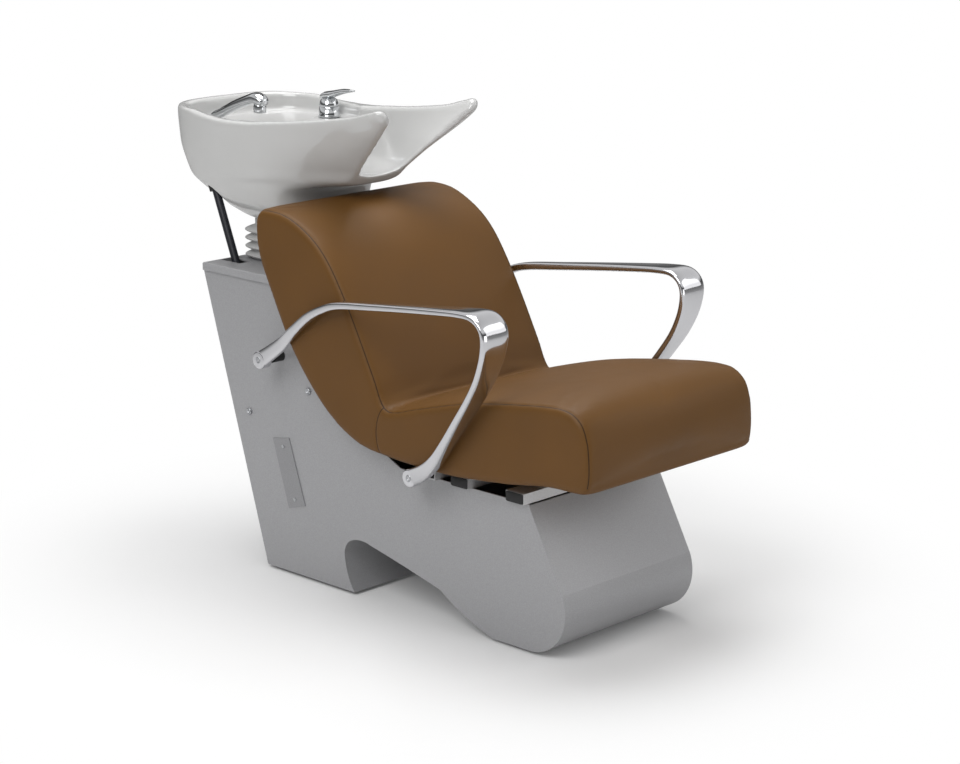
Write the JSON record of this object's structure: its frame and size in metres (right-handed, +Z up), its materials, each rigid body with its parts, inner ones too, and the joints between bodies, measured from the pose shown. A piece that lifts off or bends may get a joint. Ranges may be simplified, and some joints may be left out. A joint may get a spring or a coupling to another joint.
{
  "type": "shampoo chair",
  "caption": "Salon backwash chair: brown padded seat and back on a folded silver steel base, polished bow arms and a tilting white ceramic basin with mixer and hand shower.",
  "frame": {"origin": "on the floor at the middle of the anchor holes in the rear foot, on the centre plane", "axes": "+Z up, the sitter faces -Y, the basin is at +Y, +X is the sitter's left"},
  "size_m": [0.6088, 1.2434, 0.9509],
  "materials": {
    "silver_coat": "satin silver-grey powder coat",
    "dark_steel": "black coated steel plate",
    "grey_coat": "light grey coated tube",
    "black_rubber": "matt black rubber",
    "white_rubber": "soft white rubber",
    "hose_rubber": "dark smooth hose",
    "zinc_steel": "zinc plated",
    "brown_leather": "brown leatherette with fine seams",
    "polished_aluminium": "polished casting",
    "white_ceramic": "white glaze",
    "chrome": "polished chrome",
    "white_plastic": "moulded",
    "black_plastic": "moulded"
  },
  "bodies": {
    "base": {"side_panel_right": "silver_coat", "side_panel_left": "silver_coat", "front_panel": "silver_coat", "arch_panel": "silver_coat", "rear_panel": "silver_coat", "floor_plate": "dark_steel", "glides": "black_rubber", "arm_rail": "grey_coat", "rear_seat_rail": "grey_coat", "front_seat_rail": "grey_coat", "seat_risers": "grey_coat", "seat_bolts": "zinc_steel", "seat_frame": "dark_steel", "seat_cushion": "brown_leather", "back_cushion": "brown_leather", "access_hatch": "silver_coat", "hatch_screws": "zinc_steel", "side_bolts": "zinc_steel", "arm_right": "polished_aluminium", "arm_left": "polished_aluminium", "arm_screws": "zinc_steel", "arm_spacers": "black_rubber", "top_plate": "silver_coat", "tilt_bracket": "dark_steel", "tilt_pins": "zinc_steel", "gaiter": "white_rubber"},
    "basin": {"basin": "white_ceramic", "tilt_cradle": "dark_steel", "drain_strainer": "chrome", "drain_tail": "chrome", "drain_nut": "white_plastic", "hose_gland": "black_plastic", "shower_hose": "hose_rubber", "shower_bush": "chrome", "mixer_body": "chrome"},
    "mixer_cap": {"mixer_cap": "chrome"},
    "mixer_lever": {"mixer_lever": "chrome"},
    "hand_shower": {"hand_shower": "chrome", "spray_face": "black_plastic"}
  },
  "joints": [
    {"name": "basin_tilt", "type": "hinge", "parent": "base", "child": "basin", "pos_m": [0, 0.20205, 0.65036], "axis": [1, 0, 0], "range_deg": [-12, 2], "deforming": ["gaiter"]},
    {"name": "lever_turn", "type": "hinge", "parent": "basin", "child": "mixer_cap", "pos_m": [0.128, 0.26365, 0.89231], "axis": [0, 0, 1], "range_deg": [-45, 45]},
    {"name": "lever_lift", "type": "hinge", "parent": "mixer_cap", "child": "mixer_lever", "pos_m": [0.128, 0.26365, 0.90606], "axis": [-1, 0, 0], "range_deg": [0, 22]},
    {"name": "shower_pull", "type": "slide", "parent": "basin", "child": "hand_shower", "axis": [0, 0, 1], "range_m": [0, 0.3]}
  ]
}
